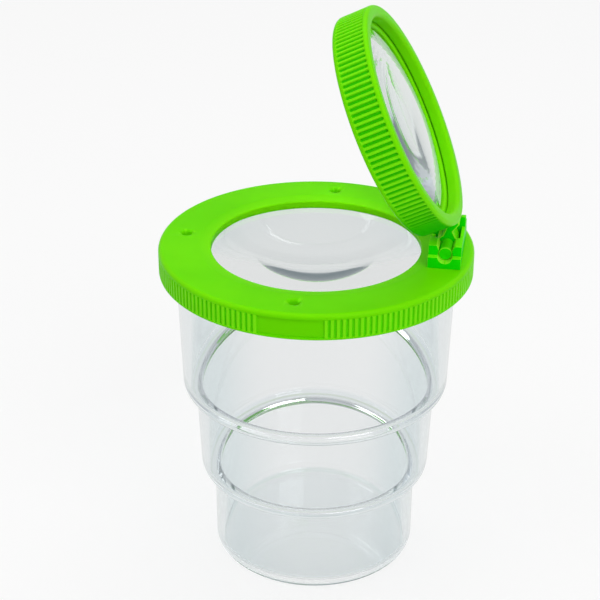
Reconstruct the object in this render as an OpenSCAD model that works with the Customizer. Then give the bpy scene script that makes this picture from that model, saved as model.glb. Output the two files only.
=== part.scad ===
// Bug catcher jar: a clear stepped cup, a knurled green lid with a large
// magnifier lens, and a second, smaller magnifier hinged on the lid.
// The origin is the middle of the jar's flat base, with the hinge towards +X.

/* [Jar] */
// Outside diameter of the top tier, just under the lid
jar_d = 60.8; // [52:0.1:72]
// Thickness of the clear wall
jar_wall = 1.25; // [0.9:0.05:1.6]
// Thickness of the jar's floor
floor_t = 1.8; // [1.2:0.1:3]
// Height of the lowest tier
low_h = 20.4; // [12:0.2:32]
// Height of the middle tier
mid_h = 21.1; // [12:0.1:32]
// Height of the top tier up to the rim
top_h = 32; // [22:0.5:45]
// How much the top and middle tiers narrow towards their foot, on each side
tier_taper = 0.85; // [0.2:0.05:1.2]
// How much the lowest tier narrows towards its foot, on each side
low_taper = 0.1; // [0:0.1:1]
// Width of the upper step, from the middle tier out to the top tier's foot
upper_step = 2.75; // [2.4:0.05:4.5]
// Width of the lower step, from the lowest tier out to the middle tier's foot
lower_step = 3; // [2.4:0.1:4.5]
// Thickness of the plastic at each step
step_t = 1.5; // [1:0.1:2.2]
// Rounding outside the foot of each tier
foot_round = 2; // [1:0.1:2.3]
// Rounding inside the foot of each tier
inner_round = 1.5; // [0.6:0.1:1.8]
// Rounding of each step's inner edge
edge_round = 0.6; // [0.2:0.1:0.8]
// How far the rim stands out from the wall
rim_out = 1.2; // [0.8:0.1:2]
// Height of the rim
rim_h = 2.2; // [1.4:0.1:3]
// Rounding of the rim's upper edge
rim_round = 0.5; // [0.2:0.1:0.7]

/* [Lid] */
// Thickness of the lid's top
plate_t = 2; // [1.6:0.1:3]
// Thickness of the skirt, from its inside to the tops of the ribs
skirt_wall = 2.15; // [1.8:0.05:3]
// Height of the lid from the skirt's lower edge to the top
lid_h = 5.8; // [5.2:0.1:9]
// Rounding of the lid's upper edge
lid_round = 1; // [0.4:0.1:1.4]
// Width of the lid's band, from its window to its edge
lid_band = 11.35; // [10.5:0.05:13]
// Width of the gentle slope round the window
slope_w = 3; // [1.5:0.1:4]
// Fall of that slope
slope_fall = 0.4; // [0.1:0.05:0.6]
// Rounding of the window's upper edge
window_round = 0.4; // [0.1:0.1:0.6]
// Depth of the grooves between the lid's ribs
lid_groove_depth = 0.4; // [0.2:0.05:0.6]
// Width of the grooves between the lid's ribs
lid_groove_w = 0.5; // [0.3:0.05:0.7]
// Places for ribs round the lid
lid_rib_count = 176; // [120:4:200]
// Smooth edge above the ribs
rib_top_margin = 1.2; // [1.1:0.1:1.6]
// Smooth edge below the ribs
rib_low_margin = 0.5; // [0.3:0.1:1]
// Angle of the smooth patch in the ribs
patch_angle = 22.6; // [10:0.1:40]
// Diameter of each air hole
vent_d = 2.3; // [1.5:0.1:2.8]
// Diameter of the shallow dish round each air hole
vent_dish_d = 4.2; // [3.2:0.1:4.6]
// Depth of that dish
vent_dish_depth = 0.5; // [0.2:0.1:0.9]
// How far the air holes' circle lies inside the jar's mouth
vent_inset = 0.6; // [0.2:0.1:1]

/* [Lid lens] */
// Depth of the lens under the window's edge
lens_depth = 1.5; // [1:0.1:1.55]
// How far the lens's flange reaches past the window
lens_lap = 1.55; // [1:0.05:1.8]
// Thickness of the lens's flange
lens_flange_t = 1.4; // [1:0.1:2]
// Bulge of the lens's underside
lens_bulge = 5.3; // [2:0.1:8]
// Wall of the collar round the lens
collar_wall = 1.5; // [0.8:0.1:1.7]
// Height of the bead that holds the lens from below
bead_h = 0.7; // [0.4:0.1:1.2]
// How far the bead reaches under the lens's flange
bead_lap = 0.25; // [0.1:0.05:0.5]

/* [Hinge] */
// How far the hinge's axis lies inside the lid's edge
axis_inset = 5.7; // [5.6:0.1:7]
// Height of the hinge's axis above the lid
axis_h = 2.65; // [2.6:0.05:3.4]
// Diameter of the hinge pin
pin_d = 2.9; // [2:0.1:3]
// Length of the hinge pin
pin_l = 14; // [12.8:0.2:15]
// Length of the bracket along the pin
bracket_l = 17.4; // [16:0.2:20]
// Length of each cheek along the pin
cheek_l = 4.4; // [2.4:0.1:4.6]
// Distance between the cheeks
cheek_gap = 6; // [5:0.1:6.2]
// Height of the cheeks above the pin's axis
cheek_h = 1.95; // [1.6:0.05:2.2]
// Height of the sloping lead-in at the top of each low cheek
lead_h = 1; // [0.5:0.1:1]
// Width of that lead-in, on each side of the slot
lead_w = 0.5; // [0.2:0.05:0.8]
// Height of the stop above the pin's axis
stop_h = 4.7; // [3.5:0.1:4.7]
// Height of the slope on the stop's inner side
stop_slope_h = 2; // [1:0.1:2.4]
// Thickness of the stop at its top
stop_top_t = 0.95; // [0.7:0.05:1.4]
// Length of the stop along the pin
stop_l = 1.2; // [1:0.1:2]
// Height of the inner wall and the ledges above the lid
ledge_h = 2.4; // [1:0.05:2.5]
// Distance from the axis to the inside of the outer wall
outer_reach = 2.65; // [2.65:0.05:2.8]
// Distance from the axis to the inside of the inner wall
inner_reach = 2.85; // [2.7:0.05:2.9]
// Thickness of the bracket's walls
bracket_wall = 0.7; // [0.5:0.05:0.9]
// How far the slot's neck reaches in over the pin, on each side
lip_reach = 0.15; // [0.05:0.05:0.2]

/* [Flip magnifier] */
// Opening of the flip magnifier from its closed place, in degrees
open_angle = 64; // [0:1:84]
// Distance from the hinge's axis to the ring
hinge_reach = 4.3; // [4.25:0.05:5]
// Thickness of the ring
ring_t = 7.7; // [6:0.1:8.5]
// Rounding of the ring's outer edges
ring_round = 0.8; // [0.3:0.1:1]
// Width of the ring's upper lip
ring_lip_w = 2.7; // [2.2:0.1:3.2]
// Rounding of that lip's inner edge
lip_inner_round = 0.9; // [0.3:0.1:1]
// Height of that lip down to the groove
ring_lip_h = 2; // [1.6:0.1:2.4]
// Depth of the groove behind the lip
ring_groove = 0.7; // [0.4:0.05:0.9]
// Height of the lower shoulder that the lens rests on
shoulder_h = 2.8; // [1.6:0.1:3]
// Width of that shoulder
shoulder_w = 2; // [1.2:0.1:2.4]
// Thickness of the small lens's flange
flip_flange_t = 1.5; // [0.8:0.1:1.6]
// Bulge of the small lens's upper side
flip_bulge_up = 3.1; // [1:0.1:3.3]
// Bulge of the small lens's lower side
flip_bulge_down = 2.6; // [0.8:0.1:2.9]
// Width of the retaining ring
retainer_w = 1.4; // [0.9:0.05:1.5]
// Thickness of the retaining ring
retainer_t = 0.7; // [0.4:0.05:0.8]
// Depth of the grooves between the ring's ribs
ring_groove_depth = 0.4; // [0.2:0.05:0.5]
// Width of the grooves between the ring's ribs
ring_groove_w = 0.6; // [0.3:0.05:0.8]
// Places for ribs round the ring
ring_rib_count = 122; // [80:2:136]
// Smooth edge between the ring's ribs and its lip
ring_top_margin = 1.3; // [0.9:0.1:1.6]
// Smooth edge below the ring's ribs
ring_low_margin = 0.9; // [0.9:0.1:1.3]
// Angle without ribs at the ring's hinge
ring_smooth_angle = 92; // [20:2:120]
// Radius of the knuckle round the pin
knuckle_r = 2.25; // [1.8:0.05:2.3]
// Thickness of the arm where it leaves the ring
arm_t = 2.1; // [1.4:0.1:2.4]
// Height of the arm's underside above the axis, at the ring
arm_lift = 2.1; // [1.6:0.1:2.4]
// Length of the arm's level top beside the ring
arm_top_l = 1.1; // [0.6:0.1:1.3]

/* [Fits] */
// Gap between the skirt and the jar's rim, on each side
lid_fit = 0.25; // [0.1:0.05:0.4]
// Gap round the large lens's flange
lens_fit = 0.15; // [0.05:0.05:0.3]
// Gap between the large lens's flange and its bead
bead_fit = 0.1; // [0.05:0.05:0.2]
// Gap round the small lens and its retaining ring
flip_lens_fit = 0.2; // [0.05:0.05:0.3]
// Gap round the hinge pin
pin_fit = 0.08; // [0.02:0.01:0.1]
// Gap between the arm and each cheek
arm_fit = 0.6; // [0.1:0.05:0.8]
// Gap under the flip ring when it is closed
closed_gap = 0.25; // [0.1:0.05:0.4]

/* [Hidden] */
// Overrun of every cut
over = 1;
// How far a feature is rooted in what it grows from
root = 0.5;
// Steps in each rounding
round_steps = 6;
// Turn of the smooth patch from the hinge's side to its middle, in degrees
patch_turn = -90;
// Turns of the air holes from the hinge's side, in degrees
vent_turns = [90, 180, 270];
// Fineness of round shapes
$fn = 128;

leaf_green = [0.40, 0.85, 0.04];
clear_plastic = [0.86, 0.92, 0.92, 0.35];

jar_h = low_h + mid_h + top_h;
mouth_r = jar_d / 2 - jar_wall;
rim_r = jar_d / 2 + rim_out;
top_foot_r = jar_d / 2 - tier_taper;
mid_r = top_foot_r - upper_step;
mid_foot_r = mid_r - tier_taper;
low_r = mid_foot_r - lower_step;
low_foot_r = low_r - low_taper;
// Each tier's foot radius, top radius, foot height, top height and floor
tiers = [
    [low_foot_r, low_r, 0, low_h, floor_t],
    [mid_foot_r, mid_r, low_h, low_h + mid_h, step_t],
    [top_foot_r, jar_d / 2, low_h + mid_h, jar_h, step_t]
];
last_tier = len(tiers) - 1;

skirt_r = rim_r + lid_fit;
lid_r = skirt_r + skirt_wall;
lid_top = jar_h + plate_t;
lid_foot = lid_top - lid_h;
window_r = lid_r - lid_band;
window_top = lid_top - slope_fall;
lens_top = window_top - lens_depth;
lens_flange_r = window_r + lens_lap;
seat_r = lens_flange_r + lens_fit;
collar_r = seat_r + collar_wall;
bead_top = lens_top - lens_flange_t - bead_fit;
collar_foot = bead_top - bead_h;
vent_ring_r = mouth_r - vent_inset;

axis_x = lid_r - axis_inset;
axis_z = lid_top + axis_h;
slot_r = pin_d / 2 + pin_fit;
neck_r = slot_r - lip_reach;
cheek_face = outer_reach + bracket_wall;
inner_face = inner_reach + bracket_wall;
cheek_y = cheek_gap / 2;
cheek_end = cheek_y + cheek_l;
arm_w = cheek_gap - 2 * arm_fit;

ring_r = axis_x - hinge_reach;
ring_foot = lid_top + closed_gap;
ring_top = ring_foot + ring_t;
bore_r = ring_r - ring_lip_w;
pocket_r = bore_r + ring_groove;
shoulder_top = ring_foot + shoulder_h;
shoulder_r = pocket_r - shoulder_w;
flip_flange_r = pocket_r - flip_lens_fit;
flip_flange_top = shoulder_top + flip_flange_t;
retainer_in_r = flip_flange_r - retainer_w;
retainer_chamfer = retainer_t / 2;

// Points of an arc about c, from angle a to angle b
function arc(c, r, a, b) =
    [for (i = [0 : round_steps]) let (t = a + (b - a) * i / round_steps) c + r * [cos(t), sin(t)]];

// Outside of one tier, from its foot to its top
function tier_outside(t) =
    concat(arc([t[0] - foot_round, t[2] + foot_round], foot_round, -90, 0), [[t[1], t[3]]]);

// Inside foot of one tier
function tier_inside_foot(t) =
    arc([t[0] - jar_wall - inner_round, t[2] + t[4] + inner_round], inner_round, -90, 0);

// Inside of one tier, ending in the rounded edge of the step above it
function tier_inside(k) =
    let (t = tiers[k], above = tiers[k + 1])
    concat(tier_inside_foot(t),
           arc([t[1] - jar_wall + edge_round, t[3] + above[4] - edge_round], edge_round, 180, 90));

// Outline of the jar's wall, cut through its axis
function jar_outline() =
    let (top = tiers[last_tier],
         outside = [for (k = [0 : last_tier - 1]) each tier_outside(tiers[k])],
         top_outside = arc([top[0] - foot_round, top[2] + foot_round], foot_round, -90, 0),
         rim = concat([[top[1], jar_h - rim_h - rim_out], [rim_r, jar_h - rim_h]],
                      arc([rim_r - rim_round, jar_h - rim_round], rim_round, 0, 90)),
         inside = [for (k = [0 : last_tier - 1]) each tier_inside(k)],
         top_inside = concat(tier_inside_foot(top), [[mouth_r, jar_h]]),
         wall = concat(inside, top_inside))
    concat([[0, 0]], outside, top_outside, rim,
           [for (i = [len(wall) - 1 : -1 : 0]) wall[i]], [[0, floor_t]]);

// Cap of a ball with the given edge radius and height, bulging upwards
module dome(r, h) {
    ball_r = (r * r + h * h) / (2 * h);
    intersection() {
        translate([0, 0, h - ball_r]) sphere(ball_r);
        translate([-ball_r, -ball_r, 0]) cube([2 * ball_r, 2 * ball_r, h + over]);
    }
}

// Straight grooves cut round a drum, leaving the spaces between them as ribs
module rib_grooves(r, count, width, depth, foot, top, bare_from, bare_angle) {
    pitch = 360 / count;
    for (turn = [pitch / 2 : pitch : 360])
        if ((turn - bare_from) % 360 > bare_angle)
            rotate([0, 0, turn])
                translate([r - depth, -width / 2, foot])
                    cube([depth + over, width, top - foot]);
}

module jar() {
    color(clear_plastic) rotate_extrude() polygon(jar_outline());
}

// Lid turned from one outline: band, skirt and the collar that holds the lens
module lid_drum() {
    rotate_extrude() polygon(concat(
        [[skirt_r, jar_h], [skirt_r, lid_foot], [lid_r - lid_groove_depth, lid_foot],
         [lid_r, lid_foot + lid_groove_depth]],
        arc([lid_r - lid_round, lid_top - lid_round], lid_round, 0, 90),
        [[window_r + slope_w, lid_top]],
        arc([window_r + window_round, window_top - window_round], window_round, 90, 180),
        [[window_r, lens_top], [seat_r, lens_top],
         [seat_r, bead_top], [lens_flange_r - bead_lap, bead_top], [lens_flange_r - bead_lap, collar_foot],
         [collar_r, collar_foot], [collar_r, jar_h]]));
}

module lid_ribs_cut() {
    rib_foot = lid_foot + rib_low_margin;
    rib_top = lid_top - rib_top_margin;
    patch_from = patch_turn - patch_angle / 2;
    rib_grooves(lid_r, lid_rib_count, lid_groove_w, lid_groove_depth, rib_foot, rib_top,
                patch_from, patch_angle);
    rotate([0, 0, patch_from])
        translate([0, 0, rib_foot])
            rotate_extrude(angle = patch_angle)
                translate([lid_r - lid_groove_depth, 0])
                    square([lid_groove_depth + over, rib_top - rib_foot]);
}

module vents_cut() {
    for (a = vent_turns)
        rotate([0, 0, a])
            translate([vent_ring_r, 0, 0]) {
                translate([0, 0, jar_h - over]) cylinder(d = vent_d, h = plate_t + 2 * over);
                translate([0, 0, lid_top - vent_dish_depth])
                    cylinder(d1 = vent_d, d2 = vent_dish_d, h = vent_dish_depth);
            }
}

// A block of the bracket, placed from the hinge's axis: x from a to b,
// y from c to d, standing on the lid and reaching the height h above the axis
module bracket_block(a, b, c, d, h) {
    translate([axis_x + a, c, lid_top - root])
        cube([b - a, d - c, axis_h + h + root]);
}

// A cheek on one side of the slot, rooted in the lid, from the distance y0 along
// the pin: its outer face, its height, the height and width of its slope, and its length
module cheek(y0, face, top, slope_h, slope_w, length = cheek_l) {
    translate([axis_x, y0 + length, axis_z])
        rotate([90, 0, 0])
            linear_extrude(length)
                polygon([[0, -axis_h - root], [face, -axis_h - root], [face, top], [neck_r + slope_w, top],
                         [neck_r, top - slope_h], [0, top - slope_h]]);
}

// The same cheek on the side of the slot that faces the window
module inner_cheek(y0) {
    translate([2 * axis_x, 0, 0])
        mirror([1, 0, 0])
            cheek(y0, inner_face, cheek_h, lead_h, lead_w);
}

// Ledges and walls round the hinge, with two cheeks at each end of the pin;
// the end of one outer cheek beside the lug rises as the stop
module bracket() {
    ledge = ledge_h - axis_h;
    difference() {
        union() {
            bracket_block(-inner_face, cheek_face, -bracket_l / 2, -cheek_y, ledge);
            bracket_block(-inner_face, cheek_face, cheek_y, bracket_l / 2, ledge);
            bracket_block(-inner_face, -inner_reach, -bracket_l / 2, bracket_l / 2, ledge);
            bracket_block(outer_reach, cheek_face, -cheek_end, cheek_end, cheek_h);
            inner_cheek(-cheek_end);
            inner_cheek(cheek_y);
            cheek(-cheek_end, cheek_face, cheek_h, lead_h, lead_w);
            cheek(cheek_y, cheek_face, cheek_h, lead_h, lead_w);
            cheek(cheek_y, cheek_face, stop_h, stop_slope_h, cheek_face - neck_r - stop_top_t, stop_l);
        }
        pin_slot_cut();
    }
}

// Open slot that the pin snaps into, narrower above the pin
module pin_slot_cut() {
    slot_l = bracket_l + 2 * over;
    translate([axis_x, 0, axis_z]) {
        rotate([90, 0, 0]) cylinder(r = slot_r, h = slot_l, center = true, $fn = 64);
        translate([-neck_r, -slot_l / 2, 0]) cube([2 * neck_r, slot_l, stop_h + over]);
    }
}

module lid() {
    color(leaf_green) {
        difference() {
            lid_drum();
            lid_ribs_cut();
            vents_cut();
        }
        bracket();
    }
}

module lid_lens() {
    color(clear_plastic) translate([0, 0, lens_top - lens_flange_t]) {
        cylinder(r = lens_flange_r, h = lens_flange_t);
        mirror([0, 0, 1]) dome(lens_flange_r - bead_lap - lens_fit, lens_bulge);
    }
}

// Turns what is drawn in the closed place about the hinge's axis
module opened() {
    translate([axis_x, 0, axis_z])
        rotate([0, open_angle, 0])
            translate([-axis_x, 0, -axis_z])
                children();
}

// Ring turned from one outline: rounded lip, groove, pocket and shoulder
module ring_drum() {
    rotate_extrude() polygon(concat(
        [[shoulder_r, ring_foot]],
        arc([ring_r - ring_round, ring_foot + ring_round], ring_round, -90, 0),
        arc([ring_r - ring_round, ring_top - ring_round], ring_round, 0, 90),
        arc([bore_r + lip_inner_round, ring_top - lip_inner_round], lip_inner_round, 90, 180),
        [[bore_r, ring_top - ring_lip_h], [pocket_r, ring_top - ring_lip_h], [pocket_r, shoulder_top],
         [shoulder_r, shoulder_top]]));
}

// Outline of the arm seen along the pin, with the axis at its origin
module arm_outline() {
    join = hinge_reach + root;
    arm_top = arm_lift + arm_t;
    circle(r = knuckle_r);
    polygon([[-join, arm_lift], [-join, arm_top], [-hinge_reach + arm_top_l, arm_top],
             [-knuckle_r, knuckle_r], [0, knuckle_r], [0, 0], [-knuckle_r, 0], [-hinge_reach, arm_lift]]);
}

module arm_and_pin() {
    translate([axis_x, 0, axis_z])
        rotate([90, 0, 0]) {
            linear_extrude(arm_w, center = true) arm_outline();
            cylinder(d = pin_d, h = pin_l, center = true, $fn = 64);
        }
}

module flip_ring() {
    color(leaf_green) opened() {
        difference() {
            ring_drum();
            rib_grooves(ring_r, ring_rib_count, ring_groove_w, ring_groove_depth,
                        ring_foot + ring_low_margin, ring_top - ring_top_margin,
                        -ring_smooth_angle / 2, ring_smooth_angle);
        }
        arm_and_pin();
    }
}

module flip_lens() {
    color(clear_plastic) opened() {
        translate([0, 0, shoulder_top]) cylinder(r = flip_flange_r, h = flip_flange_t);
        translate([0, 0, flip_flange_top]) dome(retainer_in_r - flip_lens_fit, flip_bulge_up);
        translate([0, 0, shoulder_top]) mirror([0, 0, 1]) dome(shoulder_r - flip_lens_fit, flip_bulge_down);
    }
}

module flip_lens_retainer() {
    color(leaf_green) opened()
        rotate_extrude() polygon([
            [retainer_in_r, flip_flange_top],
            [flip_flange_r, flip_flange_top],
            [flip_flange_r, flip_flange_top + retainer_t],
            [retainer_in_r + retainer_chamfer, flip_flange_top + retainer_t],
            [retainer_in_r, flip_flange_top + retainer_t - retainer_chamfer]]);
}

jar();
lid();
lid_lens();
flip_ring();
flip_lens();
flip_lens_retainer();
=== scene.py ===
"""Looks of a bug catcher jar: a clear stepped cup, a knurled green lid with a
large lens, and a smaller magnifier that stands open on the lid's hinge."""

import math

import bmesh
import bpy
import numpy as np
from mathutils import Matrix, Vector


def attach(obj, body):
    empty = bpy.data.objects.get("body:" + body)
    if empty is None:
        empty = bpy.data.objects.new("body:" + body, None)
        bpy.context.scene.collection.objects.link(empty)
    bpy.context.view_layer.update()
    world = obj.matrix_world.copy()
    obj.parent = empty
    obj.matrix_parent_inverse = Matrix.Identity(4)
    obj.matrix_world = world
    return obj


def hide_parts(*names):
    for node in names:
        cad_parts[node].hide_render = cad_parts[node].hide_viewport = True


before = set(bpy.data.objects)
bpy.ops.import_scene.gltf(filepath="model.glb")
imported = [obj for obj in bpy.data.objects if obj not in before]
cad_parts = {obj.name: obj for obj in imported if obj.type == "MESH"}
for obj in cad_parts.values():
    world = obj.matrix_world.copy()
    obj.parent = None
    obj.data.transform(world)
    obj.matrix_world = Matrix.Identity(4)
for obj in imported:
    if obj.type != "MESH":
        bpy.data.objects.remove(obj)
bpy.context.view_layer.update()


# Jar: a clear cup with three tiers, one polystyrene moulding. Its wall steps in
# above each tier's rounded foot, and the rim at the mouth keeps the lid on.
MM = 0.001


def arc(x, z, radius, start, end, steps):
    """Points of an arc about (x, z), between two angles in degrees."""
    angles = [math.radians(start + (end - start) * i / steps) for i in range(steps + 1)]
    return [(x + radius * math.cos(a), z + radius * math.sin(a)) for a in angles]


def shown(mesh, name, sharp=32):
    """An object of a closed mesh, with outward faces, smooth but for its sharp edges."""
    shell = bmesh.new()
    shell.from_mesh(mesh)
    bmesh.ops.remove_doubles(shell, verts=shell.verts, dist=1e-7)
    bmesh.ops.recalc_face_normals(shell, faces=shell.faces)
    shell.to_mesh(mesh)
    shell.free()
    mesh.polygons.foreach_set("use_smooth", [True] * len(mesh.polygons))
    mesh.set_sharp_from_angle(angle=math.radians(sharp))
    piece = bpy.data.objects.new(name, mesh)
    bpy.context.scene.collection.objects.link(piece)
    return piece


def turned(outline, turns):
    """A solid turned about Z: outline points in millimetres, one column a turn angle."""
    radii = np.array([p[0] for p in outline]) * MM
    heights = np.array([p[1] for p in outline]) * MM
    columns, rows = len(turns), len(outline)
    spots = np.zeros((columns, rows, 3))
    spots[:, :, 0] = np.cos(turns)[:, None] * radii
    spots[:, :, 1] = np.sin(turns)[:, None] * radii
    spots[:, :, 2] = heights
    quads = []
    for i in range(columns):
        a, b = i * rows, (i + 1) % columns * rows
        for k in range(rows - 1 if outline[0][0] == 0 else rows):
            quads.append((a + k, b + k, b + (k + 1) % rows, a + (k + 1) % rows))
    mesh = bpy.data.meshes.new("turned")
    mesh.from_pydata(spots.reshape(-1, 3).tolist(), [], quads)
    shell = bmesh.new()
    shell.from_mesh(mesh)
    bmesh.ops.remove_doubles(shell, verts=shell.verts, dist=1e-7)
    shell.to_mesh(mesh)
    shell.free()
    return mesh


def even_turns(columns):
    """Turn angles spaced evenly round the axis."""
    return np.arange(columns) * 2 * math.pi / columns


class Wire:
    """An output of a node tree. Sums on it add Math nodes to the tree."""

    def __init__(self, tree, socket=None):
        self.tree = tree
        self.socket = socket

    def node(self, kind, settings=None, inputs=None, output=0):
        """Adds a node: first its settings, then the values or wires of its sockets."""
        made = self.tree.nodes.new(kind)
        for key, value in (settings or {}).items():
            setattr(made, key, value)
        for key, value in (inputs or {}).items():
            if isinstance(value, Wire):
                self.tree.links.new(value.socket, made.inputs[key])
            else:
                made.inputs[key].default_value = value
        return Wire(self.tree, made.outputs[output]) if len(made.outputs) else made

    def math(self, operation, *terms):
        """A Math node's result."""
        return self.node("ShaderNodeMath", {"operation": operation}, dict(enumerate(terms)))

    def other(self, output):
        """Another output of the same node."""
        return Wire(self.tree, self.socket.node.outputs[output])

    def __add__(self, term):
        return self.math("ADD", self, term)

    __radd__ = __add__

    def __sub__(self, term):
        return self.math("SUBTRACT", self, term)

    def __rsub__(self, term):
        return self.math("SUBTRACT", term, self)

    def __mul__(self, term):
        return self.math("MULTIPLY", self, term)

    __rmul__ = __mul__

    def __truediv__(self, term):
        return self.math("DIVIDE", self, term)


def new_material(name):
    """A new material and the wire that its nodes start from."""
    material = bpy.data.materials.new(name)
    material.use_nodes = True
    material.node_tree.nodes.clear()
    return material, Wire(material.node_tree)


def on_object(start, turn, centre):
    """Object coordinates in millimetres, set to a piece's own centre and tilt."""
    place = start.node("ShaderNodeTexCoord", output="Object")
    return place.node("ShaderNodeMapping", {"vector_type": "TEXTURE"},
                      {"Vector": place, "Location": centre, "Rotation": (0, turn, 0),
                       "Scale": (MM, MM, MM)})


def noise(place, scale, detail, stretch=None):
    """A soft random pattern with so many waves a millimetre, and so many finer layers."""
    if stretch:
        place = place.node("ShaderNodeMapping", None, {"Vector": place, "Scale": stretch})
    return place.node("ShaderNodeTexNoise", None,
                      {"Vector": place, "Scale": scale, "Detail": detail})


def soft_step(wire, value, low, high):
    """A share that rises smoothly from 0 to 1 as the value goes from low to high."""
    return wire.node("ShaderNodeMapRange", {"interpolation_type": "SMOOTHSTEP"},
                     {"Value": value, "From Min": low, "From Max": high})


def clear_plastic(name, tint, side, index, turn=0.0, centre=(0, 0, 0), corners=(), ripple=0.0):
    """Polished clear plastic with faint flow waves, and the side's tint where a wall is seen edge on.
    Lamps shine through it, and light that has been thrown about inside a wall many times leaves it
    straight. Each corner is a radius and a height in millimetres, how far the corner's own tint
    reaches, and that tint, which is painted shade and glow laid into the clear plastic round the
    corner. A ripple makes faint rings towards the edge."""
    material, start = new_material(name)
    place = on_object(start, turn, centre)
    cloud = noise(place, 0.05, 3)
    haze = noise(place, 0.35, 4)
    waves = noise(place, 0.11, 1, (1, 1, 0.35))
    colour = start.node("ShaderNodeMix", {"data_type": "RGBA"},
                        {0: cloud, 6: (*tint, 1), 7: (*[min(1, t * 1.02) for t in tint], 1)},
                        output=2)
    steep = start.node("ShaderNodeLayerWeight", None, {"Blend": 0.5}, output="Facing")
    colour = start.node("ShaderNodeMix", {"data_type": "RGBA"},
                        {0: soft_step(start, steep, 0.15, 0.55), 6: colour, 7: (*side, 1)},
                        output=2)
    x = start.node("ShaderNodeSeparateXYZ", None, {0: place})
    y, z = x.other(1), x.other(2)
    out = start.math("SQRT", x * x + y * y)
    # Painted shade and glow round each corner.
    for radius, height, reach, shade in corners:
        off, rise = out - radius, z - height
        away = start.math("SQRT", off * off + rise * rise)
        colour = start.node("ShaderNodeMix", {"data_type": "RGBA"},
                            {0: soft_step(start, away, reach, reach * 0.2), 6: colour,
                             7: (*shade, 1)}, output=2)
    if ripple:
        ring_wave, ring_start, ring_full = 5.2, 7, 15
        rings = start.math("SINE", out * ring_wave)
        waves = waves + rings * soft_step(start, out, ring_start, ring_full) * ripple
    bump = start.node("ShaderNodeBump", None, {"Strength": 0.3, "Distance": 0.03 * MM,
                                               "Height": waves})
    plastic = start.node("ShaderNodeBsdfPrincipled", None,
                         {"Base Color": colour, "Roughness": 0.008 + 0.02 * haze * haze,
                          "IOR": index, "Transmission Weight": 1.0, "Normal": bump})
    lit = start.node("ShaderNodeBsdfTransparent", None, {"Color": (0.93, 0.95, 0.95, 1)})
    leaving = start.node("ShaderNodeBsdfTransparent", None, {"Color": (1, 1, 1, 1)})
    path = start.node("ShaderNodeLightPath", output="Is Shadow Ray")
    most_glints, most_bounces = 3.5, 9.5
    often = start.math("MAXIMUM",
                       start.math("GREATER_THAN", path.other("Glossy Depth"), most_glints),
                       start.math("GREATER_THAN", path.other("Ray Depth"), most_bounces))
    inner = start.node("ShaderNodeMixShader", None, {0: often, 1: plastic, 2: leaving})
    both = start.node("ShaderNodeMixShader", None,
                      {0: path.other("Is Transmission Ray"), 1: plastic, 2: inner})
    both = start.node("ShaderNodeMixShader", None,
                      {0: path.other("Is Glossy Ray"), 1: both, 2: inner})
    both = start.node("ShaderNodeMixShader", None, {0: path, 1: both, 2: lit})
    start.node("ShaderNodeOutputMaterial", None, {"Surface": both})
    return material


jar_wall, jar_floor = 1.25, 1.8
foot_round, inner_round, edge_round = 2.0, 1.5, 0.6
jar_h, jar_top_r = 73.5, 30.4
jar_mouth_r, mouth_round = jar_top_r - jar_wall, 0.3
rim_r, rim_h, rim_slope, rim_round = jar_top_r + 1.2, 2.2, 1.2, 0.5

# Each tier has its radius at the foot and at the top, the heights of both, the thickness
# of its floor or step, and the height of the upper side of the step that ends it.
tiers = [(22.85, 22.95, 0, 20.4, jar_floor, 21.9), (25.95, 26.8, 20.4, 41.5, 1.5, 43.5),
         (29.55, jar_top_r, 41.5, jar_h, 2.0, jar_h)]

outside, inside = [(0, 0)], []
for foot_r, top_r, foot, top, thick, step in tiers:
    outside += arc(foot_r - foot_round, foot + foot_round, foot_round, -90, 0, 10)
    if top < jar_h:
        outside.append((top_r, top))
    inside += arc(foot_r - jar_wall - inner_round, foot + thick + inner_round, inner_round,
                  -90, 0, 10)
    if top < jar_h:
        inside += arc(top_r - jar_wall + edge_round, step - edge_round, edge_round, 180, 90, 6)
outside += [(jar_top_r, jar_h - rim_h - rim_slope), (rim_r, jar_h - rim_h)]
outside += arc(rim_r - rim_round, jar_h - rim_round, rim_round, 0, 90, 6)
inside += arc(jar_mouth_r + mouth_round, jar_h - mouth_round, mouth_round, 180, 90, 4)
jar_outline = outside + inside[::-1] + [(0, jar_floor)]
jar = shown(turned(jar_outline, even_turns(288)), "jar_cup")

# Painted tints in the cup's corners: painted shade at the upper feet, round the lowest foot and along
# the step edges, and a painted green glow under the upper feet, as of the lid's light carried down
# the wall.
upper_feet_shade = [(28.9, 42.2, 1.8, (0.84, 0.9, 0.93)), (25.3, 21.2, 1.8, (0.84, 0.9, 0.93))]
lowest_foot_shade = [(22.3, 0.8, 1.4, (0.72, 0.82, 0.81))]
step_edge_shade = [(26.2, 43.5, 0.65, (0.34, 0.36, 0.42)), (22.35, 21.9, 0.65, (0.4, 0.44, 0.46))]
under_feet_glow = [(28.35, 41.8, 0.6, (0.72, 0.84, 0.68)), (24.8, 20.75, 0.6, (0.6, 0.72, 0.58))]
polystyrene, polystyrene_side = (0.972, 0.98, 0.985), (0.79, 0.87, 0.885)
jar.data.materials.append(
    clear_plastic("clear_polystyrene", polystyrene, polystyrene_side, 1.59,
                  corners=upper_feet_shade + lowest_foot_shade + step_edge_shade + under_feet_glow))
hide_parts("jar")
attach(jar, "jar")


# Lid: a green ring that pushes over the jar's rim, one polypropylene moulding.
# Its skirt is knurled but for a smooth patch, and three air holes pierce its top.
lid_top, lid_foot, lid_r, skirt_r = 75.5, 69.7, 34.0, 31.85
window_r, window_top, lens_top = 22.65, 75.1, 73.6
seat_r, seat_foot, bead_r, collar_r, collar_foot = 24.35, 72.1, 23.95, 25.85, 71.4
top_round, foot_edge, skirt_edge, window_round = 1.0, 0.4, 0.2, 0.4
lid_grooves, lid_groove_w, lid_groove_soft, lid_groove_depth = 176, 0.5, 0.08, 0.4
patch_angle = 23.2


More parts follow.
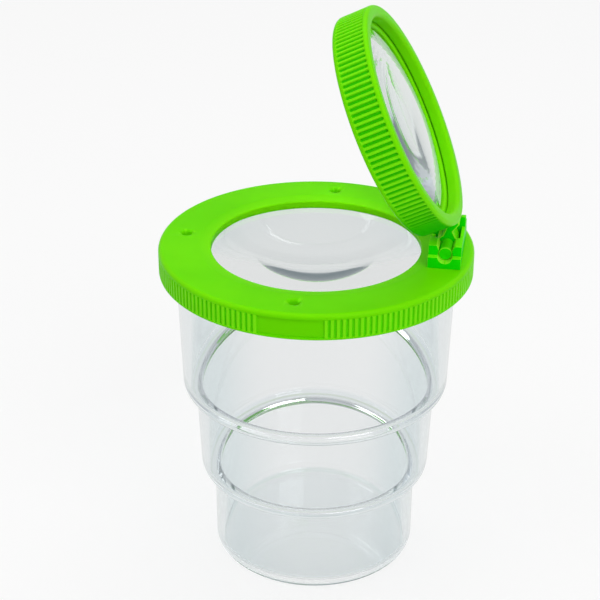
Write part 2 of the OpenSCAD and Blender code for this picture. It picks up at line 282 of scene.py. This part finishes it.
def groove_turns(count, radius, width, soft):
    """Turn angles with columns where a rim's grooves need them."""
    pitch = 2 * math.pi / count
    edge = width / 2 / radius
    blur = soft / radius
    offsets = [-pitch / 2, -edge - blur, -edge, -edge + blur, 0, edge - blur, edge, edge + blur]
    return np.array([(i + 0.5) * pitch + o for i in range(count) for o in offsets])


def groove_tree(name):
    """Geometry nodes that sink grooves with round ends into a drum round Z, and leave a
    bare patch among them at a depth of its own. All sizes are inputs, in metres and
    radians."""
    tree = bpy.data.node_groups.new(name, "GeometryNodeTree")
    tree.interface.new_socket("Geometry", in_out="INPUT", socket_type="NodeSocketGeometry")
    for size in ("Radius", "Count", "Width", "Softness", "Depth", "Foot", "Top",
                 "Bare From", "Bare Angle", "Bare Depth"):
        tree.interface.new_socket(size, in_out="INPUT", socket_type="NodeSocketFloat")
    tree.interface.new_socket("Material", in_out="INPUT", socket_type="NodeSocketMaterial")
    tree.interface.new_socket("Geometry", in_out="OUTPUT", socket_type="NodeSocketGeometry")
    start = Wire(tree)
    given = start.node("NodeGroupInput")
    size = given.other
    spot = start.node("GeometryNodeInputPosition")
    x = start.node("ShaderNodeSeparateXYZ", None, {0: spot})
    y, z = x.other(1), x.other(2)
    angle = start.math("WRAP", start.math("ARCTAN2", y, x), 0.0, 2 * math.pi)
    pitch = start.math("DIVIDE", 2 * math.pi, size("Count"))
    share = start.math("FRACT", angle / pitch) - 0.5
    across = share * pitch * size("Radius")
    half = size("Width") / 2
    below = start.math("MAXIMUM", size("Foot") + half - z, 0.0)
    above = start.math("MAXIMUM", z - size("Top") + half, 0.0)
    away = start.math("SQRT", across * across + below * below + above * above)
    soft = size("Softness")
    groove = 1 - soft_step(start, away, half - soft, half + soft)
    from_bare = start.math("WRAP", angle - size("Bare From"), 0.0, 2 * math.pi)
    middle = size("Bare Angle") / 2
    off_middle = start.math("ABSOLUTE", from_bare - middle)
    inside_bare = 1 - start.math("GREATER_THAN", off_middle, middle)
    in_height = (start.math("GREATER_THAN", z, size("Foot"))
                 * (1 - start.math("GREATER_THAN", z, size("Top"))))
    on_rim = start.math("GREATER_THAN",
                        start.math("SQRT", x * x + y * y), size("Radius") - size("Depth") / 4)
    sink = on_rim * (groove * (1 - inside_bare) * size("Depth")
                     + inside_bare * in_height * size("Bare Depth"))
    flat = start.node("ShaderNodeCombineXYZ", None, {0: x, 1: y})
    inward = start.node("ShaderNodeVectorMath", {"operation": "NORMALIZE"}, {0: flat})
    shift = start.node("ShaderNodeVectorMath", {"operation": "SCALE"},
                       {0: inward, "Scale": 0 - sink})
    ribbed = on_rim * (1 - inside_bare)
    drum = given
    # The groove and crest marks are for painted shade in the grooves and a painted highlight on the
    # rib crowns.
    for mark, amount in (("groove", ribbed * groove), ("crest", ribbed * (1 - groove) * in_height)):
        drum = start.node("GeometryNodeStoreNamedAttribute",
                          {"data_type": "FLOAT", "domain": "POINT"},
                          {"Geometry": drum, "Name": mark, "Value": amount})
    moved = start.node("GeometryNodeSetPosition", None, {"Geometry": drum, "Offset": shift})
    whole = start.node("GeometryNodeRealizeInstances", None, {0: moved})
    painted = start.node("GeometryNodeSetMaterial", None,
                         {"Geometry": whole, "Material": size("Material")})
    start.node("NodeGroupOutput", None, {0: painted})
    return tree


def by_nodes(mesh, tree, values):
    """The plain mesh that a node tree makes of a mesh, with its inputs set by name."""
    holder = bpy.data.objects.new("holder", mesh)
    bpy.context.scene.collection.objects.link(holder)
    modifier = holder.modifiers.new("nodes", "NODES")
    modifier.node_group = tree
    for item in tree.interface.items_tree:
        if item.in_out == "INPUT" and item.name in values:
            modifier[item.identifier] = values[item.name]
    graph = bpy.context.evaluated_depsgraph_get()
    made = bpy.data.meshes.new_from_object(holder.evaluated_get(graph))
    holder.modifiers.remove(modifier)
    bpy.data.objects.remove(holder)
    return made


def green_plastic(name, groove_shade, turn=0.0, centre=(0, 0, 0), rim=None):
    """Self-coloured leaf green plastic: half glossy, faintly uneven as moulded, with painted shade in
    its grooves and on upright sides, painted highlights on rib crowns, thin lips and rounded edges,
    and painted light on flat tops. A rim, given by its radius and the height of its top, gets painted
    shade towards +X, at the hinge, where the ring and the lid shade each other."""
    material, start = new_material(name)
    place = on_object(start, turn, centre)
    cloud = noise(place, 0.07, 3)
    grain = noise(place, 2.4, 3)
    sink = noise(place, 0.16, 1)
    colour = start.node("ShaderNodeMix", {"data_type": "RGBA"},
                        {0: soft_step(start, cloud, 0.3, 0.7),
                         6: (0.135, 0.69, 0.0005, 1), 7: (0.155, 0.73, 0.001, 1)}, output=2)
    # Painted shade in grooves and on upright sides; painted highlights on rib crowns, thin lips and
    # rounded edges; painted light on flat tops.
    for mark, share, tint in (("groove", 0.9, groove_shade), ("crest", 0.9, (0.2, 0.8, 0.006)),
                              ("side", 0.99, (0.004, 0.72, 0)), ("lip", 0.95, (0.18, 0.75, 0.002)),
                              ("edge", 0.95, (0.34, 0.95, 0.03)), ("top", 0.95, (0.15, 0.9, 0.002))):
        painted_share = start.node("ShaderNodeAttribute", {"attribute_name": mark}, output="Fac")
        colour = start.node("ShaderNodeMix", {"data_type": "RGBA"},
                            {0: share * painted_share, 6: colour, 7: (*tint, 1)}, output=2)
    # Painted shade on the rim beside the hinge, where the ring and the lid shade each other.
    if rim:
        x = start.node("ShaderNodeSeparateXYZ", None, {0: place})
        y, z = x.other(1), x.other(2)
        out = start.math("SQRT", x * x + y * y)
        radius, top = rim
        on_rim = (soft_step(start, out, radius - 0.9, radius - 0.4)
                  * soft_step(start, out, radius + 0.4, radius + 0.1))
        hinge_shade = (on_rim * soft_step(start, x, radius * 0.3, radius * 0.85)
                * soft_step(start, z, top, top - 0.9))
        colour = start.node("ShaderNodeMix", {"data_type": "RGBA"},
                            {0: 0.94 * hinge_shade, 6: colour, 7: (0.003, 0.48, 0, 1)}, output=2)
    relief = start.node("ShaderNodeBump", None, {"Strength": 0.6, "Distance": 0.06 * MM,
                                                 "Height": sink})
    fine = start.node("ShaderNodeBump", None, {"Strength": 0.35, "Distance": 0.008 * MM,
                                               "Height": grain, "Normal": relief})
    plastic = start.node("ShaderNodeBsdfPrincipled", None,
                         {"Base Color": colour, "Roughness": 0.28 + 0.14 * cloud,
                          "IOR": 1.49, "Specular IOR Level": 0.05,
                          "Specular Tint": (0.5, 1, 0.2, 1), "Subsurface Weight": 0.15,
                          "Subsurface Radius": (0.25, 1, 0.1), "Subsurface Scale": 0.8 * MM,
                          "Normal": fine})
    start.node("ShaderNodeOutputMaterial", None, {"Surface": plastic})
    return material


def with_lip_highlights(mesh, circles):
    """The mesh with its thin lips marked for a painted highlight: circles of radius, height and reach
    in mm.
    """
    mark = mesh.attributes.new("lip", "FLOAT", "POINT")
    spots = np.empty(len(mesh.vertices) * 3)
    mesh.vertices.foreach_get("co", spots)
    spots = spots.reshape(-1, 3) / MM
    out = np.hypot(spots[:, 0], spots[:, 1])
    share = np.zeros(len(out))
    for radius, height, reach in circles:
        away = np.hypot(out - radius, spots[:, 2] - height)
        share = np.maximum(share, np.clip(1.3 * (1 - away / reach), 0, 1))
    mark.data.foreach_set("value", share)
    return mesh


# The lid's grooves get a light painted shade.
lid_green = green_plastic("lid_green", (0.11, 0.74, 0))
groove_foot, groove_top = lid_foot + 0.5, lid_top - 1.2
end_rows = (-0.01, 0.04, 0.1, 0.18, 0.3, 0.6)
lid_outline = [(skirt_r, jar_h), (skirt_r, lid_foot + skirt_edge)]
lid_outline += arc(skirt_r + skirt_edge, lid_foot + skirt_edge, skirt_edge, 180, 270, 3)
lid_outline += arc(lid_r - foot_edge, lid_foot + foot_edge, foot_edge, -90, 0, 5)
lid_outline += [(lid_r, groove_foot + row) for row in end_rows]
lid_outline += [(lid_r, groove_top - row) for row in end_rows[::-1]]
lid_outline += arc(lid_r - top_round, lid_top - top_round, top_round, 0, 90, 8)
lid_outline += [(window_r + 3.0, lid_top), (window_r + 2.6, lid_top - 0.02)]
lid_outline += arc(window_r + window_round, window_top - window_round, window_round, 90, 180, 5)
lid_outline += [(window_r, lens_top), (seat_r, lens_top), (seat_r, seat_foot), (bead_r, seat_foot),
                (bead_r, collar_foot), (collar_r, collar_foot), (collar_r, jar_h)]
lid_mesh = turned(lid_outline, groove_turns(lid_grooves, lid_r, lid_groove_w, lid_groove_soft))
lid_mesh = by_nodes(lid_mesh, groove_tree("skirt_grooves"), {
    "Radius": lid_r * MM, "Count": float(lid_grooves), "Width": lid_groove_w * MM,
    "Softness": lid_groove_soft * MM, "Depth": lid_groove_depth * MM,
    "Foot": groove_foot * MM, "Top": groove_top * MM,
    "Bare From": math.radians(270 - patch_angle / 2), "Bare Angle": math.radians(patch_angle),
    "Bare Depth": lid_groove_depth * MM, "Material": lid_green})


def drilled(mesh, cutters):
    """A mesh with the cutters' solids taken out of it."""
    body = bpy.data.objects.new("body", mesh)
    bpy.context.scene.collection.objects.link(body)
    for cutter_mesh in cutters:
        cutter = bpy.data.objects.new("cutter", cutter_mesh)
        bpy.context.scene.collection.objects.link(cutter)
        cut = body.modifiers.new("cut", "BOOLEAN")
        cut.operation, cut.solver, cut.object = "DIFFERENCE", "EXACT", cutter
    graph = bpy.context.evaluated_depsgraph_get()
    made = bpy.data.meshes.new_from_object(body.evaluated_get(graph))
    for modifier in list(body.modifiers):
        bpy.data.objects.remove(modifier.object)
        body.modifiers.remove(modifier)
    bpy.data.objects.remove(body)
    return made


vent_ring_r, vent_r, dish_r, vent_foot = jar_mouth_r - 0.6, 1.1, 1.9, jar_h - 1
vents = []
for turn in (90, 180, 270):
    dish = turned([(0, vent_foot), (vent_r, vent_foot), (vent_r, lid_top - 0.55),
                   (1.17, lid_top - 0.35), (1.32, lid_top - 0.18), (1.55, lid_top - 0.06),
                   (dish_r, lid_top), (dish_r, lid_top + 1), (0, lid_top + 1)], even_turns(48))
    place = Vector((math.cos(math.radians(turn)), math.sin(math.radians(turn)), 0))
    place *= vent_ring_r * MM
    dish.transform(Matrix.Translation(place))
    vents.append(dish)
# Painted highlights along the window's edge, the outer top edge and the foot of the lid.
lid_lip_highlights = [(window_r + 0.1, window_top - 0.3, 1.6), (lid_r - 0.3, lid_top - 0.3, 0.7),
            (lid_r - 0.1, lid_foot + 0.1, 0.5)]
lid = shown(with_lip_highlights(drilled(lid_mesh, vents), lid_lip_highlights), "lid_moulding", 25)
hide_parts("lid")
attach(lid, "lid")


# Hinge bracket: part of the lid's moulding. Two ledges carry pairs of cheeks with the
# open slot that the pin snaps into. The end of one outer cheek beside the ring's arm
# rises as the stop. Its lengths are measured from the hinge's axis.
axis_x, axis_z = 28.3, 78.15
slot_r, neck_r, neck_foot = 1.53, 1.38, 0.3
outer_face, outer_reach, inner_face, inner_reach = 3.35, 2.65, 3.55, 2.85
cheek_top, ledge_top, stop_top, bracket_foot = 1.95, -0.25, 4.2, -3.15
lead_w, lead_h, stop_back, stop_slope_foot = 0.5, 1.0, 2.4, 2.2
cheek_start, cheek_end, ledge_end, stop_end = 3, 7.4, 8.7, 4.2
bracket_edge = 0.13


def prism(points, y0, y1):
    """A prism along Y, from points seen along the hinge's axis, measured from it."""
    shell = bmesh.new()
    near = [shell.verts.new((axis_x + x, y0, axis_z + z)) for x, z in points]
    far = [shell.verts.new((axis_x + x, y1, axis_z + z)) for x, z in points]
    shell.faces.new(near)
    shell.faces.new(far[::-1])
    for i in range(len(points)):
        k = (i + 1) % len(points)
        shell.faces.new((near[k], near[i], far[i], far[k]))
    bmesh.ops.recalc_face_normals(shell, faces=shell.faces)
    mesh = bpy.data.meshes.new("prism")
    shell.to_mesh(mesh)
    shell.free()
    mesh.transform(Matrix.Scale(MM, 4))
    return mesh


def rect(x0, x1, z0, z1):
    """The corners of a rectangle, seen along the hinge's axis."""
    return [(x0, z0), (x1, z0), (x1, z1), (x0, z1)]


def merged(meshes, cutters, round_by):
    """One solid with rounded edges out of several that touch, less the cutters' solids."""
    body = bpy.data.objects.new("merged", meshes[0])
    bpy.context.scene.collection.objects.link(body)
    helpers = []
    joins = [(mesh, "UNION") for mesh in meshes[1:]] + [(mesh, "DIFFERENCE") for mesh in cutters]
    for other, operation in joins:
        helper = bpy.data.objects.new("helper", other)
        bpy.context.scene.collection.objects.link(helper)
        helpers.append(helper)
        step = body.modifiers.new("join", "BOOLEAN")
        step.operation, step.solver, step.object = operation, "EXACT", helper
    edge = body.modifiers.new("edge", "BEVEL")
    edge.width, edge.segments, edge.limit_method = round_by * MM, 3, "ANGLE"
    edge.angle_limit = math.radians(38)
    graph = bpy.context.evaluated_depsgraph_get()
    made = bpy.data.meshes.new_from_object(body.evaluated_get(graph))
    body.modifiers.clear()
    for helper in helpers:
        bpy.data.objects.remove(helper)
    bpy.data.objects.remove(body)
    return made


def marked(mesh):
    """The mesh with its rounded edges, flat upright sides and flat tops marked, so that the plastic
    can paint highlights on the edges, shade on the upright sides and light on the tops."""
    edge, side, top = (mesh.attributes.new(mark, "FLOAT", "FACE") for mark in ("edge", "side", "top"))
    for face in mesh.polygons:
        across, along, rise = (abs(n) for n in face.normal)
        flat = max(across, along, rise) > 0.995
        edge.data[face.index].value = 0.0 if flat else 1.0
        side.data[face.index].value = 1.0 if flat and rise < 0.5 else 0.0
        top.data[face.index].value = 1.0 if face.normal.z > 0.6 and flat else 0.0
    return mesh


low_cheek = [(0, bracket_foot), (outer_face, bracket_foot), (outer_face, cheek_top),
             (neck_r + lead_w, cheek_top), (neck_r, cheek_top - lead_h), (0, cheek_top - lead_h)]
stop_cheek = [(0, bracket_foot), (outer_face, bracket_foot), (outer_face, stop_top),
              (stop_back, stop_top), (neck_r, stop_slope_foot), (0, stop_slope_foot)]
inner_cheek = [(-inner_face if x == outer_face else -x, z) for x, z in low_cheek][::-1]
ledge, wall = rect(-inner_face, outer_face, bracket_foot, ledge_top), cheek_start + 0.5
blocks = [prism(ledge, -ledge_end, -cheek_start), prism(ledge, cheek_start, ledge_end),
          prism(rect(-inner_face, -inner_reach, bracket_foot, ledge_top), -wall, wall),
          prism(rect(outer_reach, outer_face, bracket_foot, cheek_top), -wall, wall),
          prism(inner_cheek, -cheek_end, -cheek_start), prism(inner_cheek, cheek_start, cheek_end),
          prism(low_cheek, -cheek_end, -cheek_start), prism(low_cheek, cheek_start, cheek_end),
          prism(stop_cheek, cheek_start, stop_end)]
slot_round = [(slot_r * math.cos(a), slot_r * math.sin(a)) for a in even_turns(64)]
slot_cut = [prism(slot_round, -10, 10), prism(rect(-neck_r, neck_r, neck_foot, 6), -10, 10)]
# The bracket gets painted highlights on its rounded edges, painted shade on its upright sides and
# painted light on its flat tops.
bracket = shown(marked(merged(blocks, slot_cut, bracket_edge)), "hinge_bracket", 40)
bracket.data.materials.clear()
bracket.data.materials.append(lid_green)
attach(bracket, "lid")


# Lid lens: the large magnifier, a flat-topped acrylic lens that bulges into the
# jar. Its flange rests under the window's edge and snaps over a bead below.
lens_foot, lens_r, lens_edge = lens_top - 1.4, 24.2, 0.1
bulge_r, bulge_depth, bulge_power = 23.8, 5.3, 2.05
bulge_steps = 48
acrylic_index = 1.49
bulge_rows = [bulge_r * math.cos(math.pi / 2 * i / bulge_steps) for i in range(bulge_steps)] + [0]
lens_outline = [(r, lens_foot - bulge_depth * (1 - (r / bulge_r) ** bulge_power))
                for r in bulge_rows[::-1]]
lens_outline += [(lens_r, lens_foot), (lens_r, lens_top - lens_edge),
                 (lens_r - lens_edge, lens_top), (0, lens_top)]
lid_lens = shown(turned(lens_outline, even_turns(256)), "large_lens")
lid_lens.data.materials.append(
    clear_plastic("clear_acrylic_large", (0.975, 0.99, 0.98), (0.95, 0.98, 0.97), acrylic_index))
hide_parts("lid_lens")
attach(lid_lens, "lid")


# Flip ring: the thick knurled ring of the small magnifier, green polypropylene.
# Its arm and the pin that snaps into the bracket are moulded with it.
opening = math.radians(64)
ring_foot, ring_top, ring_r = 75.75, 83.45, 24.0
bore_r, pocket_r, shoulder_r, shoulder_top = 21.3, 22.0, 20.0, 78.55
rim_edge, bore_edge, shoulder_edge, pocket_depth = 0.8, 0.9, 0.3, 2.4
ring_grooves, ring_groove_w, ring_groove_soft, ring_groove_depth = 122, 0.62, 0.11, 0.4
bare_angle = 92
open_turn = (Matrix.Translation((axis_x * MM, 0, axis_z * MM)) @ Matrix.Rotation(opening, 4, "Y")
             @ Matrix.Translation((-axis_x * MM, 0, -axis_z * MM)))
ring_centre = open_turn @ Vector((0, 0, axis_z * MM))

# The ring's grooves get a deep painted shade, and its rim painted shade beside the hinge.
ring_green = green_plastic("ring_green", (0.02, 0.55, 0), opening, ring_centre,
                           (ring_r, ring_top - axis_z - 0.5))
ribs_foot, ribs_top = ring_foot + 0.9, ring_top - 0.85
end_rows = (-0.03, 0.03, 0.1, 0.18, 0.28, 0.45, 0.8)
ring_outline = arc(shoulder_r + shoulder_edge, ring_foot + shoulder_edge, shoulder_edge, 180, 270, 3)
ring_outline += arc(ring_r - rim_edge, ring_foot + rim_edge, rim_edge, -90, 0, 6)
ring_outline += [(ring_r, ribs_foot + row) for row in end_rows]
ring_outline += [(ring_r, ribs_top - row) for row in end_rows[::-1]]
ring_outline += arc(ring_r - rim_edge, ring_top - rim_edge, rim_edge, 0, 90, 7)
ring_outline += arc(bore_r + bore_edge, ring_top - bore_edge, bore_edge, 90, 180, 7)
ring_outline += [(bore_r, ring_top - pocket_depth), (pocket_r, ring_top - pocket_depth),
                 (pocket_r, shoulder_top), (shoulder_r, shoulder_top)]
ring_mesh = turned(ring_outline, groove_turns(ring_grooves, ring_r, ring_groove_w, ring_groove_soft))
ring_mesh = by_nodes(ring_mesh, groove_tree("ring_grooves"), {
    "Radius": ring_r * MM, "Count": float(ring_grooves), "Width": ring_groove_w * MM,
    "Softness": ring_groove_soft * MM, "Depth": ring_groove_depth * MM,
    "Foot": ribs_foot * MM, "Top": ribs_top * MM,
    "Bare From": math.radians(-bare_angle / 2), "Bare Angle": math.radians(bare_angle),
    "Bare Depth": 0.0, "Material": ring_green})

# The arm, seen along the hinge: a round knuckle about the pin, and a block that runs
# from it into the ring's rim.
knuckle_r, arm_half, arm_edge = 2.25, 2.4, 0.2
arm_end, arm_slope, arm_foot, arm_top = -4.8, -3.2, 2.1, 4.2
arm_points = [(arm_end, arm_foot), (arm_end, arm_top), (arm_slope, arm_top), (-knuckle_r, knuckle_r)]
arm_points += [(knuckle_r * math.cos(a), knuckle_r * math.sin(a))
               for a in np.radians(np.arange(90, -181, -10))]
arm_points.append((arm_end + 0.5, arm_foot))
# The arm is marked the same way, for painted highlights, shade and light.
arm = marked(merged([prism(arm_points[::-1], -arm_half, arm_half)], [], arm_edge))

pin_r, pin_half, pin_edge = 1.45, 7, 0.3
pin_outline = [(0, -pin_half)] + arc(pin_r - pin_edge, pin_edge - pin_half, pin_edge, -90, 0, 4)
pin_outline += arc(pin_r - pin_edge, pin_half - pin_edge, pin_edge, 0, 90, 4) + [(0, pin_half)]
pin = turned(pin_outline, even_turns(64))
# Painted shade on the pin, deepest on its ends, and a painted highlight on its rounded rims.
ends, pin_rim_highlight = (pin.attributes.new(mark, "FLOAT", "FACE") for mark in ("side", "edge"))
for face in pin.polygons:
    rise = abs(face.normal.z)
    ends.data[face.index].value = 0.9 if rise > 0.95 else 0.5
    pin_rim_highlight.data[face.index].value = 0.7 if 0.2 < rise < 0.95 else 0.0
pin.transform(Matrix.Translation((axis_x * MM, 0, axis_z * MM))
              @ Matrix.Rotation(math.pi / 2, 4, "X"))


def together(meshes, material):
    """One mesh of several, all in one material."""
    shell = bmesh.new()
    for mesh in meshes:
        shell.from_mesh(mesh)
    for face in shell.faces:
        face.material_index = 0
    made = bpy.data.meshes.new("together")
    shell.to_mesh(made)
    shell.free()
    made.materials.append(material)
    return made


# Painted highlights along the ring's bore edge, its outer top edge and its foot.
ring_lip_highlights = [(bore_r + 0.3, ring_top - 0.3, 0.9), (ring_r - 0.3, ring_top - 0.3, 0.75),
             (ring_r - 0.2, ring_foot + 0.2, 0.6)]
ring_mesh = together([with_lip_highlights(ring_mesh, ring_lip_highlights), arm, pin], ring_green)
ring_mesh.transform(open_turn)
ring = shown(ring_mesh, "flip_ring_moulding")
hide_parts("flip_ring")
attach(ring, "flip_magnifier")


# Flip lens: the small magnifier, moulded in clear acrylic and bulging on both sides.
# Its flange lies on the ring's shoulder.
under_r, under_bulge, upper_r, upper_bulge = 19.8, 2.6, 20.2, 3.1
flange_r, flange_top = 21.8, 80.05


def cap(edge_r, edge_z, bulge, steps=40):
    """Points of a lens face from its edge to the axis, bulging up or down."""
    ball = (edge_r * edge_r + bulge * bulge) / (2 * abs(bulge))
    points = []
    for i in range(steps + 1):
        r = edge_r * math.cos(math.pi / 2 * i / steps)
        rise = math.sqrt(ball * ball - r * r) - (ball - abs(bulge))
        points.append((r if i < steps else 0, edge_z + math.copysign(rise, bulge)))
    return points


small_outline = cap(under_r, shoulder_top, -under_bulge)[::-1]
small_outline += [(flange_r, shoulder_top), (flange_r, flange_top)]
small_outline += cap(upper_r, flange_top, upper_bulge)
small_mesh = turned(small_outline, even_turns(256))
small_mesh.transform(open_turn)
flip_lens = shown(small_mesh, "small_lens")
flip_lens.data.materials.append(
    clear_plastic("clear_acrylic_small", (0.95, 0.985, 0.965), (0.8, 0.88, 0.85), acrylic_index,
                  opening, ring_centre, ripple=0.7))
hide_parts("flip_lens")
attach(flip_lens, "flip_magnifier")


# Retainer: a thin snap ring of green polypropylene, pressed into the flip ring's
# pocket over the small lens to hold it there.
retainer_r, retainer_lip_r, retainer_top = 20.4, 20.75, flange_top + 0.7
retainer_mesh = turned([(retainer_r, flange_top), (flange_r, flange_top),
                        (flange_r, retainer_top - 0.1), (flange_r - 0.1, retainer_top),
                        (retainer_lip_r, retainer_top), (retainer_r, retainer_top - 0.35)],
                       even_turns(192))
# A painted highlight along the retainer's inner lip.
retainer_mesh = with_lip_highlights(retainer_mesh, [(retainer_lip_r, retainer_top, 0.9)])
retainer_mesh.transform(open_turn)
retainer = shown(retainer_mesh, "small_lens_retainer")
retainer.data.materials.append(ring_green)
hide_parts("flip_lens_retainer")
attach(retainer, "flip_magnifier")


# Stage: a white table and soft light from large panels, as for a catalogue. Only the
# clear plastic sees the room's grey tints and the dark band behind the jar.
table_z, table_half = -0.03 * MM, 3
floor_mesh = bpy.data.meshes.new("table")
floor_mesh.from_pydata([(-table_half, -table_half, table_z), (table_half, -table_half, table_z),
                        (table_half, table_half, table_z), (-table_half, table_half, table_z)],
                       [], [(0, 1, 2, 3)])
floor = bpy.data.objects.new("table", floor_mesh)
bpy.context.scene.collection.objects.link(floor)
table_white, start = new_material("table_white")
straight = start.node("ShaderNodeLightPath", output="Is Camera Ray")
in_plastic = start.math("MAXIMUM", straight.other("Is Glossy Ray"),
                        straight.other("Is Transmission Ray")) * (1 - straight)
matt = start.node("ShaderNodeBsdfDiffuse", None, {"Color": (0.78, 0.78, 0.78, 1)})
glow = start.node("ShaderNodeEmission", None, {"Color": (1, 1, 1, 1),
                                               "Strength": 1.03 * straight + 0.84 * in_plastic})
both = start.node("ShaderNodeMixShader", None,
                  {0: 0.72 * straight + 0.85 * in_plastic, 1: matt, 2: glow})
start.node("ShaderNodeOutputMaterial", None, {"Surface": both})
floor_mesh.materials.append(table_white)

world = bpy.data.worlds.new("studio")
world.use_nodes = True
world.node_tree.nodes.clear()
start = Wire(world.node_tree)
way = start.node("ShaderNodeTexCoord", output="Generated")
apart = start.node("ShaderNodeSeparateXYZ", None, {0: way})
above = soft_step(start, apart.other(2), 0.1, 0.6)
straight = start.node("ShaderNodeLightPath", output="Is Camera Ray")
in_plastic = start.math("MAXIMUM", straight.other("Is Glossy Ray"),
                        straight.other("Is Transmission Ray"))
aside = soft_step(start, start.math("ABSOLUTE", apart), 0.3, 1.0)
low_room = start.node("ShaderNodeMix", {"data_type": "RGBA"},
                      {0: aside, 6: (0.82, 0.83, 0.83, 1), 7: (0.6, 0.66, 0.74, 1)}, output=2)
room = start.node("ShaderNodeMix", {"data_type": "RGBA"},
                  {0: above, 6: low_room, 7: (0.5, 0.53, 0.56, 1)}, output=2)
behind = (soft_step(start, apart.other(1), 0.25, 0.55)
          * soft_step(start, apart.other(2), 0.02, 0.12))
band = behind * soft_step(start, apart.other(2), 0.62, 0.5)
room = start.node("ShaderNodeMix", {"data_type": "RGBA"},
                  {0: band, 6: room, 7: (0.16, 0.2, 0.22, 1)}, output=2)
in_room = start.node("ShaderNodeBackground", None, {"Color": room, "Strength": 1.0})
cast_light = start.node("ShaderNodeBackground", None, {"Color": (1, 1, 1, 1), "Strength": 0.5})
white = start.node("ShaderNodeBackground", None, {"Color": (1, 1, 1, 1), "Strength": 1.0})
both = start.node("ShaderNodeMixShader", None, {0: in_plastic, 1: cast_light, 2: in_room})
both = start.node("ShaderNodeMixShader", None, {0: straight, 1: both, 2: white})
start.node("ShaderNodeOutputWorld", None, {"Surface": both})
bpy.context.scene.world = world


def panel(name, place, target, width, height, power, seen=True):
    """A soft light panel that faces a point, seen in the plastics or hidden from them."""
    lamp = bpy.data.lights.new(name, "AREA")
    lamp.shape, lamp.size, lamp.size_y, lamp.energy = "RECTANGLE", width, height, power
    stand = bpy.data.objects.new(name, lamp)
    stand.location = place
    stand.rotation_mode = "QUATERNION"
    stand.rotation_quaternion = (Vector(target) - Vector(place)).to_track_quat("-Z", "Y")
    stand.visible_glossy = stand.visible_transmission = seen
    bpy.context.scene.collection.objects.link(stand)


lid_middle = (0, 0, 0.07)
panel("key_panel", (-0.62, -0.35, 0.92), lid_middle, 0.6, 0.5, 2.1)
panel("fill_panel", (0.52, -0.6, 0.78), lid_middle, 0.5, 0.6, 4.3)
panel("top_panel", (0.05, 0.35, 0.95), lid_middle, 0.7, 0.5, 2.4, seen=False)

# The camera's place, direction and lens were fitted to the photograph.
sensor, focal_px, picture_px = 36, 1563.9, 600
camera_data = bpy.data.cameras.new("camera")
camera_data.sensor_width, camera_data.lens = sensor, sensor * focal_px / picture_px
camera_data.clip_start, camera_data.clip_end = 0.02, 20
camera = bpy.data.objects.new("camera", camera_data)
forward = Vector((-0.1444, 0.8769, -0.4584)).normalized()
right = forward.cross(Vector((0, 0, 1))).normalized()
up = right.cross(forward)
roll = math.radians(0.17)
right, up = (right * math.cos(roll) + up * math.sin(roll),
             up * math.cos(roll) - right * math.sin(roll))
camera.matrix_world = Matrix((right, up, -forward)).transposed().to_4x4()
camera.location = Vector((46.2, -301.8, 218.8)) * MM
bpy.context.scene.collection.objects.link(camera)
bpy.context.scene.camera = camera

bpy.context.scene.view_settings.view_transform = "Standard"

bpy.context.view_layer.update()
